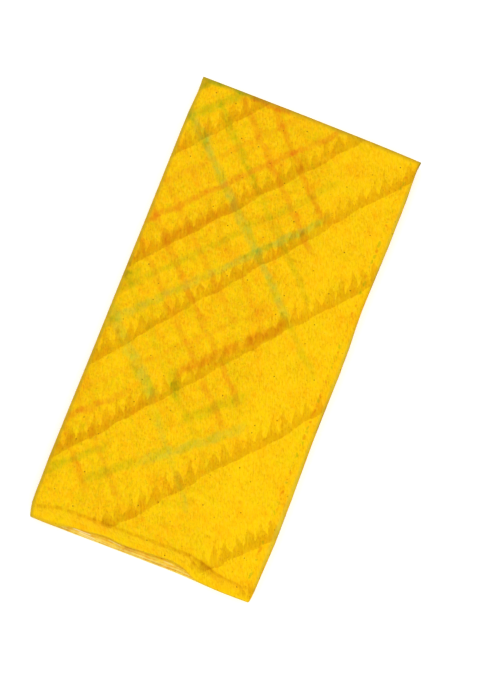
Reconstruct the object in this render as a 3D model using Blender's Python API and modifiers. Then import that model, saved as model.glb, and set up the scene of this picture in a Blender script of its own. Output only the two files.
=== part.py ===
"""Tussar silk saree, folded flat into a long narrow pack.

Units are metres. +Z is up, +X runs along the short side and +Y along the long side, towards the
back edge. One length of cloth goes back and forth in ten panels. Each panel is the cloth's four
plies, lying close, as one sheet. The panels turn in pairs at the front edge. The top pair droops
over the shorter pairs under it, down to the two longest, so its lip is bowed and uneven.
"""

import math
from collections import namedtuple

import bmesh
import bpy
import numpy as np

# Driving dimensions of the folded pack.
WIDTH = 0.2875
LENGTH = 0.576
SHEET_THICKNESS = 0.0015
LAYER_GAP = 0.0005

# The cloth turns at the front edge once in each pair of panels.
PAIRS = 5
TURN_STEPS = 4
DROOP_STEPS = 6
LIP_STEPS = 2

# Shares of a panel's length, from the back, that carry the mesh's rows.
PANEL_ROWS = (0.0, 0.03, 0.2, 0.4, 0.6, 0.8, 0.93, 0.985, 1.0)

# How far below the panel the droop may reach, as a share of the layers that it drops by.
DROOP_SHARE = 0.97

# The front edge at places across the width. The share is from the left side. The edge is set back
# from the pack's front, and the crease and the lip of the top pair lie behind the edge. The drop
# is how many layers the top pair falls by between its crease and its lip.
FrontPlace = namedtuple("FrontPlace", "share edge crease lip drop")
FRONT = (
    FrontPlace(0.00, 0.0006, 0.0155, 0.0004, 3.2),
    FrontPlace(0.05, 0.0000, 0.0190, 0.0012, 3.8),
    FrontPlace(0.12, 0.0001, 0.0222, 0.0028, 4.0),
    FrontPlace(0.21, 0.0003, 0.0236, 0.0056, 4.0),
    FrontPlace(0.30, 0.0013, 0.0236, 0.0094, 4.0),
    FrontPlace(0.39, 0.0022, 0.0234, 0.0088, 4.0),
    FrontPlace(0.49, 0.0027, 0.0230, 0.0078, 4.0),
    FrontPlace(0.57, 0.0027, 0.0228, 0.0084, 4.0),
    FrontPlace(0.64, 0.0027, 0.0226, 0.0086, 4.0),
    FrontPlace(0.69, 0.0024, 0.0212, 0.0050, 4.0),
    FrontPlace(0.74, 0.0020, 0.0186, 0.0012, 3.9),
    FrontPlace(0.80, 0.0013, 0.0152, 0.0008, 3.3),
    FrontPlace(0.86, 0.0011, 0.0122, 0.0006, 2.4),
    FrontPlace(0.93, 0.0005, 0.0100, 0.0004, 1.5),
    FrontPlace(1.00, 0.0012, 0.0090, 0.0002, 1.0),
)

# The sides at distances from the back edge, with how far the cloth is drawn in on each side.
SidePlace = namedtuple("SidePlace", "from_back left right")
SIDES = (
    SidePlace(0.000, 0.0012, 0.0030),
    SidePlace(0.012, 0.0006, 0.0008),
    SidePlace(0.030, 0.0000, 0.0001),
    SidePlace(0.130, 0.0000, 0.0009),
    SidePlace(0.160, 0.0002, 0.0018),
    SidePlace(0.205, 0.0002, 0.0026),
    SidePlace(0.250, 0.0001, 0.0009),
    SidePlace(0.365, 0.0003, 0.0014),
    SidePlace(0.455, 0.0000, 0.0003),
    SidePlace(0.512, 0.0001, 0.0003),
    SidePlace(0.530, 0.0006, 0.0014),
    SidePlace(0.553, 0.0010, 0.0022),
    SidePlace(0.566, 0.0023, 0.0028),
    SidePlace(0.572, 0.0036, 0.0034),
    SidePlace(0.576, 0.0048, 0.0040),
)

# The back edge, set back from the pack's end.
BackPlace = namedtuple("BackPlace", "share edge")
BACK = (
    BackPlace(0.00, 0.0008),
    BackPlace(0.25, 0.0003),
    BackPlace(0.55, 0.0000),
    BackPlace(0.85, 0.0005),
    BackPlace(1.00, 0.0014),
)

# The pairs of panels from the bottom up: how far the front fold lies inside the edge, the height
# of its slow wave, and the pair's shift to the right.
PairFold = namedtuple("PairFold", "name front wave shift")
FOLDS = (
    PairFold("longest", 0.0000, 0.0004, -0.0004),
    PairFold("second", 0.0020, 0.0007, 0.0006),
    PairFold("third", 0.0004, 0.0006, -0.0008),
    PairFold("fourth", 0.0010, 0.0005, 0.0004),
    PairFold("top", 0.0000, 0.0000, 0.0000),
)
HIDDEN_PAIRS = ("third", "fourth")  # their front folds end behind the crease of the top pair
WAVES_ACROSS = 1.5

# The back of the pack from the bottom up: the lower end, the turns between the pairs and the upper
# end, with how far each lies inside the back edge.
BackFold = namedtuple("BackFold", "name inside")
BACK_FOLDS = (
    BackFold("lower end", 0.0022),
    BackFold("first turn", 0.0004),
    BackFold("second turn", 0.0015),
    BackFold("third turn", 0.0000),
    BackFold("fourth turn", 0.0009),
    BackFold("upper end", 0.0010),
)

# Soft rises in the pack, which lift each layer by this share of its height.
Rise = namedtuple("Rise", "share from_back half_width half_length lift")
RISES = (
    Rise(0.30, 0.100, 0.060, 0.090, 0.045),
    Rise(0.72, 0.260, 0.070, 0.110, 0.060),
    Rise(0.25, 0.400, 0.055, 0.100, 0.050),
    Rise(0.80, 0.480, 0.050, 0.060, 0.035),
)

CLOTH_YELLOW = (0.913, 0.521, 0.006, 1.0)

PITCH = SHEET_THICKNESS + LAYER_GAP
TURN_RADIUS = PITCH / 2
OUTER_RADIUS = TURN_RADIUS + SHEET_THICKNESS / 2


def read_table(rows, key, column, at):
    """Reads a column between its rows, on a smooth curve through them."""
    keys = [getattr(row, key) for row in rows]
    values = [getattr(row, column) for row in rows]
    slopes = np.gradient(values, keys)
    at = min(max(at, keys[0]), keys[-1])
    end = min(int(np.searchsorted(keys, at, side="right")), len(keys) - 1)
    span = keys[end] - keys[end - 1]
    t = (at - keys[end - 1]) / span
    rise = t * t * (3 - 2 * t)
    start_pull = span * slopes[end - 1] * t * (1 - t) ** 2
    end_pull = span * slopes[end] * t * t * (1 - t)
    return values[end - 1] * (1 - rise) + values[end] * rise + start_pull - end_pull


def lift_at(share, from_back):
    """Returns how much the pack is lofted here: 1 on the level, and a little more on a rise."""
    lift = 1.0
    for rise in RISES:
        across = (share - rise.share) * WIDTH / rise.half_width
        along = (from_back - rise.from_back) / rise.half_length
        lift += rise.lift * math.exp(-across * across - along * along)
    return lift


def front_tip(share, number):
    """Returns how far a pair's front fold lies behind the pack's front."""
    fold = FOLDS[number]
    edge = read_table(FRONT, "share", "edge", share)
    if fold.name == "top":
        return edge + read_table(FRONT, "share", "lip", share)
    if fold.name in HIDDEN_PAIRS:
        edge += read_table(FRONT, "share", "crease", share)
    turn = 2 * math.pi * WAVES_ACROSS * share + number
    return edge + fold.front + fold.wave * (1 + math.sin(turn))


def droop_at(share, ahead, run):
    """Returns the drop of the top pair and its slope at a distance ahead of its crease."""
    drop = DROOP_SHARE * PITCH * read_table(FRONT, "share", "drop", share)
    t = min(max(ahead / run, 0.0), 1.0)
    return drop * t * t * (3 - 2 * t), drop * 6 * t * (1 - t) / run


def back_fold(share, number):
    """Returns how far a turn or end at the back lies from the pack's back."""
    fold = BACK_FOLDS[number]
    turn = OUTER_RADIUS if "turn" in fold.name else 0.0
    return read_table(BACK, "share", "edge", share) + fold.inside + turn


def panel_line(share, number, start):
    """Returns the line midway between a pair's two panels, from the back to its front turn.

    Each point is its distance from the pack's back, its height and its slope downwards.
    """
    stop = LENGTH - front_tip(share, number) - OUTER_RADIUS
    height = SHEET_THICKNESS / 2 + (2 * number + 0.5) * PITCH
    if FOLDS[number].name != "top":
        return [(start + (stop - start) * row, height, 0.0) for row in PANEL_ROWS]
    edge = read_table(FRONT, "share", "edge", share)
    crease = LENGTH - edge - read_table(FRONT, "share", "crease", share)
    front_steps = DROOP_STEPS + LIP_STEPS
    run = (stop - crease) * DROOP_STEPS / front_steps
    places = [start + (crease - start) * row for row in PANEL_ROWS[:-1]]
    places += [crease + (stop - crease) * i / front_steps for i in range(front_steps + 1)]
    line = []
    for place in places:
        drop, slope = droop_at(share, place - crease, run)
        line.append((place, height - drop, slope))
    return line


def beside(point, offset):
    """Moves a point of a pair's line squarely off it, up for a positive offset."""
    place, height, slope = point
    scale = offset / math.hypot(1.0, slope)
    return place + slope * scale, height + scale


def turn_points(centre, heading):
    """Returns the points inside a half turn that starts below its centre and ends above it.

    The heading is the unit step towards the turn's nose, in distance from the back and height.
    """
    side = 1 if heading[0] > 0 else -1
    points = []
    for i in range(1, TURN_STEPS):
        angle = math.pi * i / TURN_STEPS
        along = TURN_RADIUS * math.sin(angle)
        up = -TURN_RADIUS * math.cos(angle) * side
        points.append((centre[0] + heading[0] * along - heading[1] * up,
                       centre[1] + heading[1] * along + heading[0] * up))
    return points


def cloth_section(share):
    """Returns the cloth's middle, in a cut along the pack, from its lower end to its upper end.

    Each point is its distance from the back, its height and its place up the pairs.
    """
    section = []
    for number in range(PAIRS):
        line = panel_line(share, number, back_fold(share, number))
        above = panel_line(share, number, back_fold(share, number + 1))
        place, height, slope = line[-1]
        length = math.hypot(1.0, slope)
        panel = [beside(point, -TURN_RADIUS) for point in line]
        panel += turn_points((place, height), (1.0 / length, -slope / length))
        panel += [beside(point, TURN_RADIUS) for point in reversed(above)]
        section += [(place, height, number) for place, height in panel]
        if number + 1 < PAIRS:
            centre = (back_fold(share, number + 1), above[0][1] + PITCH)
            turn = turn_points(centre, (-1.0, 0.0))
            section += [(place, height, number + 0.5) for place, height in turn]
    return section


def shares_across():
    """Returns the places across the width that carry the mesh's columns."""
    return [place.share for place in FRONT]


def place_point(share, point):
    """Returns a point of a section in the pack's own frame."""
    from_back, height, pair = point
    left = read_table(SIDES, "from_back", "left", from_back)
    right = read_table(SIDES, "from_back", "right", from_back)
    shift = float(np.interp(pair, range(PAIRS), [fold.shift for fold in FOLDS]))
    across = left + share * (WIDTH - left - right) + shift
    rest = SHEET_THICKNESS / 2
    lofted = rest + (height - rest) * lift_at(share, from_back)
    return across, LENGTH - from_back, lofted


def silk_material():
    """Makes the yellow of the cloth."""
    material = bpy.data.materials.new("yellow_tussar_silk")
    material.use_nodes = True
    shader = material.node_tree.nodes["Principled BSDF"]
    shader.inputs["Base Color"].default_value = CLOTH_YELLOW
    shader.inputs["Roughness"].default_value = 0.6
    shader.inputs["Metallic"].default_value = 0.0
    shader.inputs["Sheen Weight"].default_value = 0.2
    return material


def centre_on_base(mesh):
    """Moves the mesh so that the middle of its base lies on the origin."""
    places = np.array([vertex.co for vertex in mesh.vertices])
    middle = (places.min(axis=0) + places.max(axis=0)) / 2
    for vertex in mesh.vertices:
        vertex.co.x -= middle[0]
        vertex.co.y -= middle[1]


def make_cloth(collection):
    """Folds a flat grid into the pack and gives it its thickness."""
    shares = shares_across()
    sections = [cloth_section(share) for share in shares]
    columns = len(shares) - 1
    rows = len(sections[0]) - 1
    form = bmesh.new()
    bmesh.ops.create_grid(form, x_segments=columns, y_segments=rows, size=0.5)
    for vertex in form.verts:
        column = round((vertex.co.x + 0.5) * columns)
        row = round((vertex.co.y + 0.5) * rows)
        vertex.co = place_point(shares[column], sections[column][row])
    mesh = bpy.data.meshes.new("saree_cloth")
    form.to_mesh(mesh)
    form.free()
    centre_on_base(mesh)
    mesh.materials.append(silk_material())
    mesh.shade_smooth()
    cloth = bpy.data.objects.new("saree_cloth", mesh)
    collection.objects.link(cloth)
    thickness = cloth.modifiers.new("Cloth thickness", "SOLIDIFY")
    thickness.thickness = SHEET_THICKNESS
    thickness.offset = 0.0
    thickness.use_even_offset = True
    return cloth


def main():
    for old in list(bpy.data.objects):
        bpy.data.objects.remove(old, do_unlink=True)
    collection = bpy.data.collections.new("tussar_silk_saree")
    bpy.context.scene.collection.children.link(collection)
    make_cloth(collection)


main()
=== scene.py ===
"""Tussar silk saree, folded flat into a long narrow pack that lies on a pale floor.

Units are metres. +Z is up, +X runs along the pack's short side and +Y along its long side, towards
the back edge. One sheet of silk is folded twice lengthwise, so that it lies four plies deep, and
then goes back and forth in ten panels. The panels turn in pairs at the front edge. The top pair
droops over the shorter pairs under it.
"""

import math
from collections import namedtuple

import bmesh
import bpy
import numpy as np
from bpy.props import FloatProperty, FloatVectorProperty, IntProperty, PointerProperty
from mathutils import Matrix, Vector


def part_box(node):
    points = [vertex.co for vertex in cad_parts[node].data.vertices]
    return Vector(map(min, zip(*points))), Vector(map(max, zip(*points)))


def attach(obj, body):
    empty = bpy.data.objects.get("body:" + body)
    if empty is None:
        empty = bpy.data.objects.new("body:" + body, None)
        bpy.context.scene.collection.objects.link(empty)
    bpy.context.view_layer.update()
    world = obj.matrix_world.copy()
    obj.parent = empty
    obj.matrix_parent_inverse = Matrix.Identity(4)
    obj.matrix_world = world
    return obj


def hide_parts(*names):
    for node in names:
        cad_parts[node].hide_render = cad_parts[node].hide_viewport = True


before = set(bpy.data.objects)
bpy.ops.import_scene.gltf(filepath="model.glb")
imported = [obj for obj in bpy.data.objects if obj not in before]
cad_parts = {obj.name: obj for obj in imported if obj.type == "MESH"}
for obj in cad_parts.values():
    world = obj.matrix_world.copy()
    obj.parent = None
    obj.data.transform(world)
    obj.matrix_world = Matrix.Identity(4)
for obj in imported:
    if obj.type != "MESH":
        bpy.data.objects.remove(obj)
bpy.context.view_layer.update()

bl_info = {
    "name": "Folded Silk Saree",
    "version": (1, 0, 0),
    "blender": (4, 5, 0),
    "location": "3D View > Sidebar > Saree",
    "description": "Folds a sheet of silk into a flat pack and sets it on a studio floor",
    "category": "Add Mesh",
}


def table(columns, *rows):
    """Returns the rows, with a name for each of their columns."""
    Row = namedtuple("Row", columns)
    return tuple(Row(*row) for row in rows)


# The pack's solid, and the outer size of the folded pack, read from its box.
CAD_NODE = "saree_cloth"
PACK_LOW, PACK_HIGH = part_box(CAD_NODE)
SHIFT_ROOM = 0.0014
BACK_ROOM = 0.0005
WIDTH = PACK_HIGH[0] - PACK_LOW[0] - SHIFT_ROOM
LENGTH = PACK_HIGH[1] - PACK_LOW[1] + BACK_ROOM

# A panel is the sheet's four plies. It is as thick as one layer of the solid.
PANEL_THICKNESS = 0.0015
PANEL_GAP = 0.0005
PANEL_PITCH = PANEL_THICKNESS + PANEL_GAP
TURN_RADIUS = PANEL_PITCH / 2
OUTER_RADIUS = TURN_RADIUS + PANEL_THICKNESS / 2
PAIRS = 5

# The cut size of the whole cloth: four plies wide, ten panels long.
FLAT_LENGTH = 5.7

# Shares of a panel's length, from the back, at which the mesh has rows.
PANEL_ROWS = (0.0, 0.012, 0.03, 0.08, 0.2, 0.35, 0.5, 0.65, 0.8, 0.9, 0.95, 0.978, 0.992, 1.0)
TURN_STEPS = 6
DROOP_STEPS = 14
LIP_STEPS = 5

# How far below the panel the droop may reach, as a share of the layers that it drops by.
DROOP_SHARE = 0.97

# The front edge at places across the width. The share is from the left side. The edge is set back
# from the pack's front, or ahead of it below 0. The crease and the lip of the top pair lie behind
# the edge. The drop is how many layers the top pair falls by between its crease and its lip.
FRONT = table(
    "share edge crease lip drop",
    (0.0, -0.0004, 0.014, 0.0004, 3.4),
    (0.05, -0.001, 0.019, 0.0012, 3.9),
    (0.12, -0.001, 0.0244, 0.002, 4.0),
    (0.17, -0.001, 0.0246, 0.0058, 4.0),
    (0.21, -0.0009, 0.0246, 0.0072, 4.0),
    (0.25, -0.0006, 0.0244, 0.0078, 4.0),
    (0.3, -0.0002, 0.0244, 0.0094, 4.0),
    (0.34, 0.0, 0.0244, 0.0102, 4.0),
    (0.4, 0.0004, 0.0246, 0.008, 4.0),
    (0.49, 0.0008, 0.0252, 0.0084, 4.0),
    (0.57, 0.0008, 0.0256, 0.01, 4.0),
    (0.64, 0.0008, 0.0258, 0.0106, 4.0),
    (0.69, 0.0004, 0.026, 0.008, 4.0),
    (0.74, -0.0003, 0.0252, 0.0022, 4.0),
    (0.8, -0.0012, 0.0214, 0.0008, 3.8),
    (0.86, -0.0018, 0.0184, 0.0006, 3.4),
    (0.93, -0.0016, 0.017, 0.0004, 3.0),
    (1.0, -0.001, 0.017, 0.0002, 2.6),
)

# The sides at distances from the back edge, with how far the cloth is drawn in on each side, or
# pushed out below 0.
SIDES = table(
    "from_back left right",
    (0.0, 0.0003, -0.0011),
    (0.006, 0.0008, 0.0006),
    (0.011, 0.0012, 0.0013),
    (0.018, 0.0013, 0.0012),
    (0.044, 0.0, 0.0005),
    (0.13, 0.0, 0.0009),
    (0.16, 0.0002, 0.0018),
    (0.205, 0.0002, 0.0026),
    (0.25, 0.0001, 0.0009),
    (0.365, 0.0003, 0.0014),
    (0.455, 0.0, 0.0003),
    (0.512, 0.0001, 0.0003),
    (0.53, 0.0006, 0.0014),
    (0.553, 0.001, 0.0022),
    (0.566, 0.0023, 0.0028),
    (0.572, 0.0036, 0.0034),
    (0.576, 0.0048, 0.004),
)

# The back edge, set back from the pack's end.
BACK = table(
    "share edge",
    (0.0, 0.0008), (0.25, 0.0003), (0.55, 0.0), (0.85, 0.0005), (1.0, 0.0014),
)

# The pairs of panels from the bottom up: how far the front fold lies inside the edge, the height
# of its slow wave, and the pair's shift to the right.
FOLDS = table(
    "name front wave shift",
    ("longest", 0.0, 0.0004, -0.0004),
    ("second", 0.002, 0.0007, 0.0006),
    ("third", 0.0004, 0.0006, -0.0008),
    ("fourth", 0.001, 0.0005, 0.0004),
    ("top", 0.0, 0.0, 0.0),
)
HIDDEN_PAIRS = ("third", "fourth")  # their front folds end behind the crease of the top pair
WAVES_ACROSS = 1.5

# The back of the pack from the bottom up, with how far each end or turn lies inside the edge.
BACK_FOLDS = table(
    "name inside",
    ("lower end", 0.0022),
    ("first turn", 0.0004),
    ("second turn", 0.0015),
    ("third turn", 0.0),
    ("fourth turn", 0.0009),
    ("upper end", 0.001),
)

# Soft rises in the pack, which lift each layer by this share of its height.
RISES = table(
    "share from_back half_width half_length lift",
    (0.3, 0.1, 0.06, 0.09, 0.045),
    (0.72, 0.26, 0.07, 0.11, 0.06),
    (0.25, 0.4, 0.055, 0.1, 0.05),
    (0.8, 0.48, 0.05, 0.06, 0.035),
)

# Soft ridges in the top panel, from one place to another, in metres across and from the back.
RIDGES = table(
    "across from_back to_across to_back half_width height",
    (0.205, 0.262, 0.286, 0.258, 0.005, 0.00045),
    (0.01, 0.15, 0.12, 0.33, 0.013, 0.0004),
    (0.245, 0.02, 0.262, 0.23, 0.007, 0.00035),
    (0.06, 0.52, 0.215, 0.5, 0.01, 0.0004),
    (0.15, 0.03, 0.235, 0.12, 0.012, 0.00035),
    (0.262, 0.33, 0.276, 0.545, 0.006, 0.0004),
)

# The plies across the sheet, in its order from the upper selvedge: how far each lies above the
# middle of its panel, the segments across it, whether the mesh runs from left to right, and how
# far its right side is tucked in and sways.
PLY_LIST = table(
    "above segments to_right tuck sway",
    (0.0006, 58, False, 0.0009, 0.0007),
    (-0.0006, 16, True, 0.0005, 0.0003),
    (-0.0002, 16, False, 0.0005, 0.0003),
    (0.0002, 16, True, 0.0017, 0.0009),
)
FOLD_SEGMENTS = 6

# Where the dark bands' lower edges leave the left side, from the back, and how steeply they climb.
BANDS = table(
    "start climb",
    (0.1125, 1.27), (0.259, 1.2), (0.3873, 1.265), (0.5086, 1.2), (0.6711, 1.175), (0.78, 0.98),
)
BAND_PITCH = 0.132
BAND_CLIMB = 1.18

# A check of coloured stripes that shows through the upper ply. Each stripe is straight. It starts
# at a distance from the back, at the left side, and falls away from the back across the cloth, or
# climbs towards it if its fall is below 0. It is seen between two places across the width.
STRIPES = table(
    "dye start fall width strength left right",
    ("green", 0.001, 0.0, 0.005, 0.7, 0.0, 0.08),
    ("red", 0.001, 0.02, 0.0075, 0.7, 0.058, 0.118),
    ("red", -0.086, 1.0, 0.008, 0.44, 0.095, 0.205),
    ("pink", -0.044, 1.0, 0.008, 0.36, 0.05, 0.205),
    ("green", -0.004, 1.0, 0.008, 0.27, 0.03, 0.12),
    ("green", -0.004, 1.0, 0.008, 0.2, 0.118, 0.222),
    ("teal", 0.047, 0.97, 0.0095, 0.32, 0.0, 0.205),
    ("teal", 0.043, 0.97, 0.012, 0.22, 0.024, 0.044),
    ("green", 0.053, 0.97, 0.009, 0.24, 0.0, 0.014),
    ("green", 0.048, 0.97, 0.009, 0.19, 0.2, 0.262),
    ("pink", 0.085, 1.0, 0.008, 0.14, 0.0, 0.2),
    ("pink", 0.134, 0.95, 0.0075, 0.23, 0.0, 0.15),
    ("pink", 0.1765, 0.99, 0.0075, 0.33, 0.0, 0.19),
    ("pink", 0.216, 1.0, 0.0075, 0.28, 0.0, 0.185),
    ("green", 0.261, 1.02, 0.009, 0.11, 0.0, 0.185),
    ("green", 0.259, 1.02, 0.0145, 0.36, 0.095, 0.12),
    ("teal", 0.311, 0.91, 0.013, 0.25, 0.0, 0.092),
    ("green", 0.315, 0.91, 0.013, 0.15, 0.066, 0.092),
    ("teal", 0.2915, 1.19, 0.0085, 0.17, 0.094, 0.18),
    ("pink", 0.394, 1.0, 0.0075, 0.09, 0.0, 0.06),
    ("pink", 0.419, 1.05, 0.0075, 0.22, 0.0, 0.11),
    ("red", 0.459, 1.2, 0.008, 0.3, 0.0, 0.062),
    ("green", 0.015, -1.0, 0.0075, 0.45, 0.0, 0.018),
    ("green", 0.056, -1.0, 0.011, 0.3, 0.0, 0.056),
    ("pink", 0.148, -1.1, 0.008, 0.19, 0.0, 0.15),
    ("pink", 0.195, -1.06, 0.0075, 0.39, 0.0, 0.19),
    ("red", 0.243, -1.13, 0.0122, 0.12, 0.0, 0.03),
    ("red", 0.243, -1.13, 0.0122, 0.3, 0.026, 0.102),
    ("red", 0.241, -1.13, 0.0109, 0.12, 0.102, 0.15),
    ("green", 0.289, -1.11, 0.0085, 0.18, 0.0, 0.205),
    ("green", 0.269, -0.5, 0.013, 0.34, 0.0, 0.02),
    ("teal", 0.3305, -1.065, 0.009, 0.25, 0.0, 0.105),
    ("teal", 0.3305, -1.065, 0.009, 0.36, 0.103, 0.206),
    ("pink", 0.417, -1.0, 0.0075, 0.14, 0.0, 0.204),
    ("pink", 0.4525, -0.95, 0.008, 0.4, 0.0, 0.062),
    ("red", 0.4535, -0.98, 0.0109, 0.43, 0.1, 0.206),
    ("red", 0.495, -1.12, 0.0109, 0.14, 0.0, 0.095),
    ("green", 0.519, -0.92, 0.008, 0.26, 0.0, 0.062),
    ("green", 0.525, -0.92, 0.012, 0.23, 0.128, 0.196),
    ("green", 0.55, -0.8, 0.01, 0.26, 0.045, 0.1),
    ("teal", 0.549, -0.8, 0.01, 0.26, 0.1, 0.205),
)

# Painted highlights: light slivers on the lower folds at the front, from one place across to another,
# with how far they lie behind the fold's nose.
SLIVERS = table(
    "across to_across behind to_behind strength",
    (0.051, 0.077, 0.0036, 0.0038, 1.0),
    (0.059, 0.083, 0.0022, 0.001, 0.62),
    (0.096, 0.116, 0.0062, 0.0042, 0.45),
    (0.166, 0.182, 0.0052, 0.004, 0.35),
)

# Brown stains on the left fold, with how far they reach along it and in from it.
STAINS = table(
    "from_back half_length reach strength",
    (0.008, 0.014, 0.014, 0.55),
    (0.052, 0.012, 0.006, 0.45),
    (0.25, 0.007, 0.005, 1.0),
    (0.264, 0.009, 0.007, 0.85),
    (0.356, 0.006, 0.004, 0.5),
    (0.484, 0.009, 0.004, 0.45),
)

# A ridge keeps its height out to this share of its length from its middle. It is gone after the
# second share more.
RIDGE_LEVEL = 0.3
RIDGE_END = 0.2

# Slow ripples in the top panel: their turns per metre across and along, in radians, where they
# start, how far they bend with the slower wave of the rate below, and their height as a share.
RIPPLES = table(
    "across along start bend height",
    (61.0, 0.0, 0.0, 1.3, 1.0),
    (19.0, 43.0, 0.8, 0.0, 0.8),
    (-71.0, 88.0, 0.0, 0.0, 0.35),
)
BEND_RATE = 17.0

# How far behind the crease the ridges and ripples begin to fade out.
CREASE_FADE = 0.012

# Waves along the right side of the plies, with the phase that each pair adds, and each ply up to
# the last one that does.
TUCK_WAVES = table("rate phases height", (37.0, 1, 0.65), (96.0, 2, 0.35))
PHASE_OF_PAIR = 1.7
PHASE_OF_PLY = 2.1
LAST_PHASE_PLY = 2

# The mark past the crease for the rows below the top panel, and the limit that tells them by it.
OFF_TOP = -1.0
OFF_TOP_LIMIT = -0.9

# Small dark slubs: how far apart they lie, their radius, the number from 0 to 1 that one has to
# pass to show, and how strongly the last of them shows. The core is a share of the radius.
SPECKS = table(
    "spacing radius rare strength",
    (0.024, 0.0011, 0.44, 0.85),
    (0.011, 0.0009, 0.5, 0.36),
)
SPECK_CORE = 0.35

# Where the warm strip inside the right side starts and ends, across the pack.
MARGIN_INNER = WIDTH - 0.013
MARGIN_OUTER = WIDTH - 0.003

# How amounts in the silk's look change. As a value goes from the first number to the second, the
# amount goes smoothly from the third to the fourth, or from 0 to 1 where none are given. A
# meeting is where a band runs into the crease, and what is folded is a band's part beyond it.
FADES = {
    "deep clouds": (0.3, 0.75, 0.0, 0.4),
    "deep back": (0.0, LENGTH, 0.2, -0.06),
    "fine green": (0.48, 0.75, 0.0, 0.6),
    "fine orange": (0.52, 0.27, 0.0, 0.6),
    "broad green": (0.48, 0.75, 0.0, 0.9),
    "broad orange": (0.52, 0.27, 0.0, 0.9),
    "clouded grain": (0.35, 0.65, 0.45, 1.0),
    "roughness": (0.2, 0.8, 0.52, 0.68),
    "check reach": (0.225, 0.165),
    "green blotches": (0.54, 0.68, 0.0, 0.13),
    "pink blotches": (0.46, 0.32, 0.0, 0.15),
    "band bottom": (-0.0012, 0.0022),
    "band top": (-0.0014, 0.0034),
    "band reach": (0.13, 0.19, 0.002, 0.014),
    "margin start": (MARGIN_INNER - 0.001, MARGIN_INNER + 0.002),
    "margin end": (MARGIN_OUTER + 0.001, MARGIN_OUTER - 0.001, 0.0, 0.6),
    "dash line": (0.0005, 0.003, 1.0, 0.0),
    "red dashes": (0.55, 0.68, 0.0, 0.42),
    "green dashes": (0.45, 0.34, 0.0, 0.32),
    "warm left": (0.02, 0.002),
    "warm back": (0.1, 0.34),
    "warm front": (LENGTH, LENGTH - 0.05, 0.0, 0.45),
    # The next three place painted shade: dark lines along the left fold, the free end and the right
    # selvedge.
    "left fold": (0.0008, 0.0046, 0.88, 0.0),
    "free end": (0.0012, 0.0085, 0.8, 0.0),
    "right selvedge": (WIDTH - 0.0062, WIDTH - 0.003, 0.0, 0.6),
    # From here to the nose reach, the rows place painted shade at the front: the crease line, its
    # deeper part where a band meets it, the shadow past it and the dark line at the noses. The folded
    # rows place a band's own dye past the crease instead.
    "crease": (0.0005, 0.0036, 0.75, 0.0),
    "crease end": (0.25, 0.268, 1.0, 0.3),
    "meeting place": (0.16, 0.2, 0.001, 0.006),
    "meeting reach": (0.16, 0.2, 0.006, 0.011),
    "meeting": (0.0, 0.7),
    "shadow": (0.009, 0.001, 0.0, 0.45),
    "folded left": (0.196, 0.214),
    "folded right": (0.258, 0.222),
    "folded front": (0.0105, 0.006, 0.0, 0.74),
    "nose reach": (0.035, 0.052, 0.0052, 0.0018),
    # The rest place painted sheen on the lower folds, paler near their noses, and painted shade in the
    # fine lines between them.
    "pale fold": (0.0085, 0.002, 0.0, 0.36),
    "pale rim": (0.0024, 0.0002, 0.0, 0.3),
    "pale left": (0.015, 0.06),
    "near the nose": (0.02, 0.01),
    "off the nose": (0.0002, 0.0014),
}

# Noises in the silk's look: the size of their features in metres, the fade that makes a cloud of
# them, their detail and roughness, and how many times finer they are across than along.
Noise = namedtuple("Noise", "size fade detail roughness finer", defaults=(None, 2.0, 0.5, 1.0))
NOISES = {
    "ground clouds": Noise(0.026, None, 3.0, 0.6),
    "fine hue": Noise(0.009),
    "broad hue": Noise(0.026),
    "strokes": Noise(0.0085, (0.46, 0.7, 0.0, 0.75), 3.0, 0.7, 5.0),
    "slubs": Noise(0.034, (0.6, 0.76, 0.0, 0.4), 1.0, 0.5, 12.0),
    "grain": Noise(0.004, (0.44, 0.7), 2.0, 0.65, 2.0),
    "flecks": Noise(0.0056, (0.48, 0.68, 0.0, 0.42), 2.0, 0.6, 2.0),
    "yarns": Noise(0.0036, None, 1.0, 0.5, 6.0),
    "dull": Noise(0.015, (0.42, 0.66, 0.15, 1.0), 3.0, 0.65),
    "blotches": Noise(0.0055),
    "shimmer": Noise(0.012, (0.44, 0.6)),
    "dabs": Noise(0.014, (0.34, 0.62, 0.6, 1.1)),
    "irregular": Noise(0.0085, (0.34, 0.62, 0.64, 1.11), 3.0, 0.75, 3.5),
    "check sway": Noise(0.022, (0.2, 0.8, -0.0034, 0.0034)),
    "band sway": Noise(0.036, (0.25, 0.75, -0.0035, 0.0035)),
    "fray": Noise(0.0034, (0.2, 0.8, -0.0022, 0.0022), 2.0, 0.7),
    "tooth sway": Noise(0.02, (0.2, 0.8, -0.0025, 0.0025), 1.0),
    "tooth reach": Noise(0.014, (0.25, 0.75, 0.9, 1.4), 1.0),
    "threads": Noise(0.02, (0.3, 0.66, 0.62, 1.15), 2.0, 0.6, 7.0),
    "band clouds": Noise(0.017, (0.3, 0.7, 0.72, 1.18), 1.0),
    "dashes": Noise(0.0075, None, 1.0),
    # The last four break up painted shade and sheen along the edges, at the crease and on the lower
    # folds; the first also breaks up the warm left side.
    "worn edge": Noise(0.01, (0.3, 0.7, 0.6, 1.0)),
    "broken crease": Noise(0.007, (0.3, 0.6, 0.3, 1.0)),
    "fold clouds": Noise(0.0075, (0.3, 0.7, 0.6, 1.1)),
    "fold lines": Noise(0.0017, (0.5, 0.6, 0.0, 0.9), 2.0, 0.5, 0.12),
}

# A stripe is at its strongest out to the first share of its width and gone at the second. Its
# ends fade from a little past their place to a little short of it.
STRIPE_CORE = 0.25
STRIPE_RIM = 1.15
STRIPE_PAST = 0.004
STRIPE_SHORT = 0.01

# How much red shimmers in the pink stripes, and green in the teal ones.
RED_IN_PINK = 0.5
GREEN_IN_TEAL = 0.8

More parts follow.
